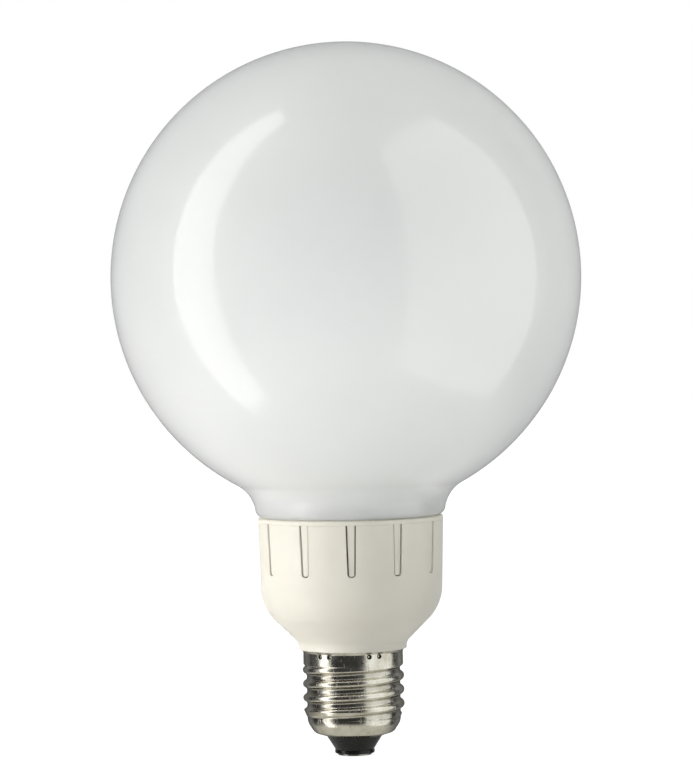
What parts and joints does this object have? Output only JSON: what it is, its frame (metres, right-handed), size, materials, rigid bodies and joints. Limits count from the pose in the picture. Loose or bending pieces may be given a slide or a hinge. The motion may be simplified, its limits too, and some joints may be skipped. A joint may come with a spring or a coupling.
{
  "type": "globe lamp bulb",
  "caption": "Opal globe lamp on a slotted moulded housing, with a threaded metal screw cap, a black insulator and a centre contact.",
  "frame": {"origin": "middle of the centre contact's face, on the lamp's axis", "axes": "+Z along the lamp's axis from the cap to the globe; -Y is the side that the picture shows"},
  "size_m": [0.1218, 0.1218, 0.1848],
  "materials": {
    "opal_glass": "gloss",
    "housing_plastic": "satin",
    "plated_sheet": "bright nickel plate",
    "black_insulator": "gloss",
    "contact_metal": "bright nickel plate",
    "solder": "dull tin",
    "cement": "matt"
  },
  "bodies": {
    "root": {"globe": "opal_glass", "globe_cement": "cement", "globe_holder": "housing_plastic", "ballast_housing": "housing_plastic", "screw_shell": "plated_sheet", "cap_insulator": "black_insulator", "centre_contact": "contact_metal", "contact_solder": "solder"}
  },
  "joints": []
}
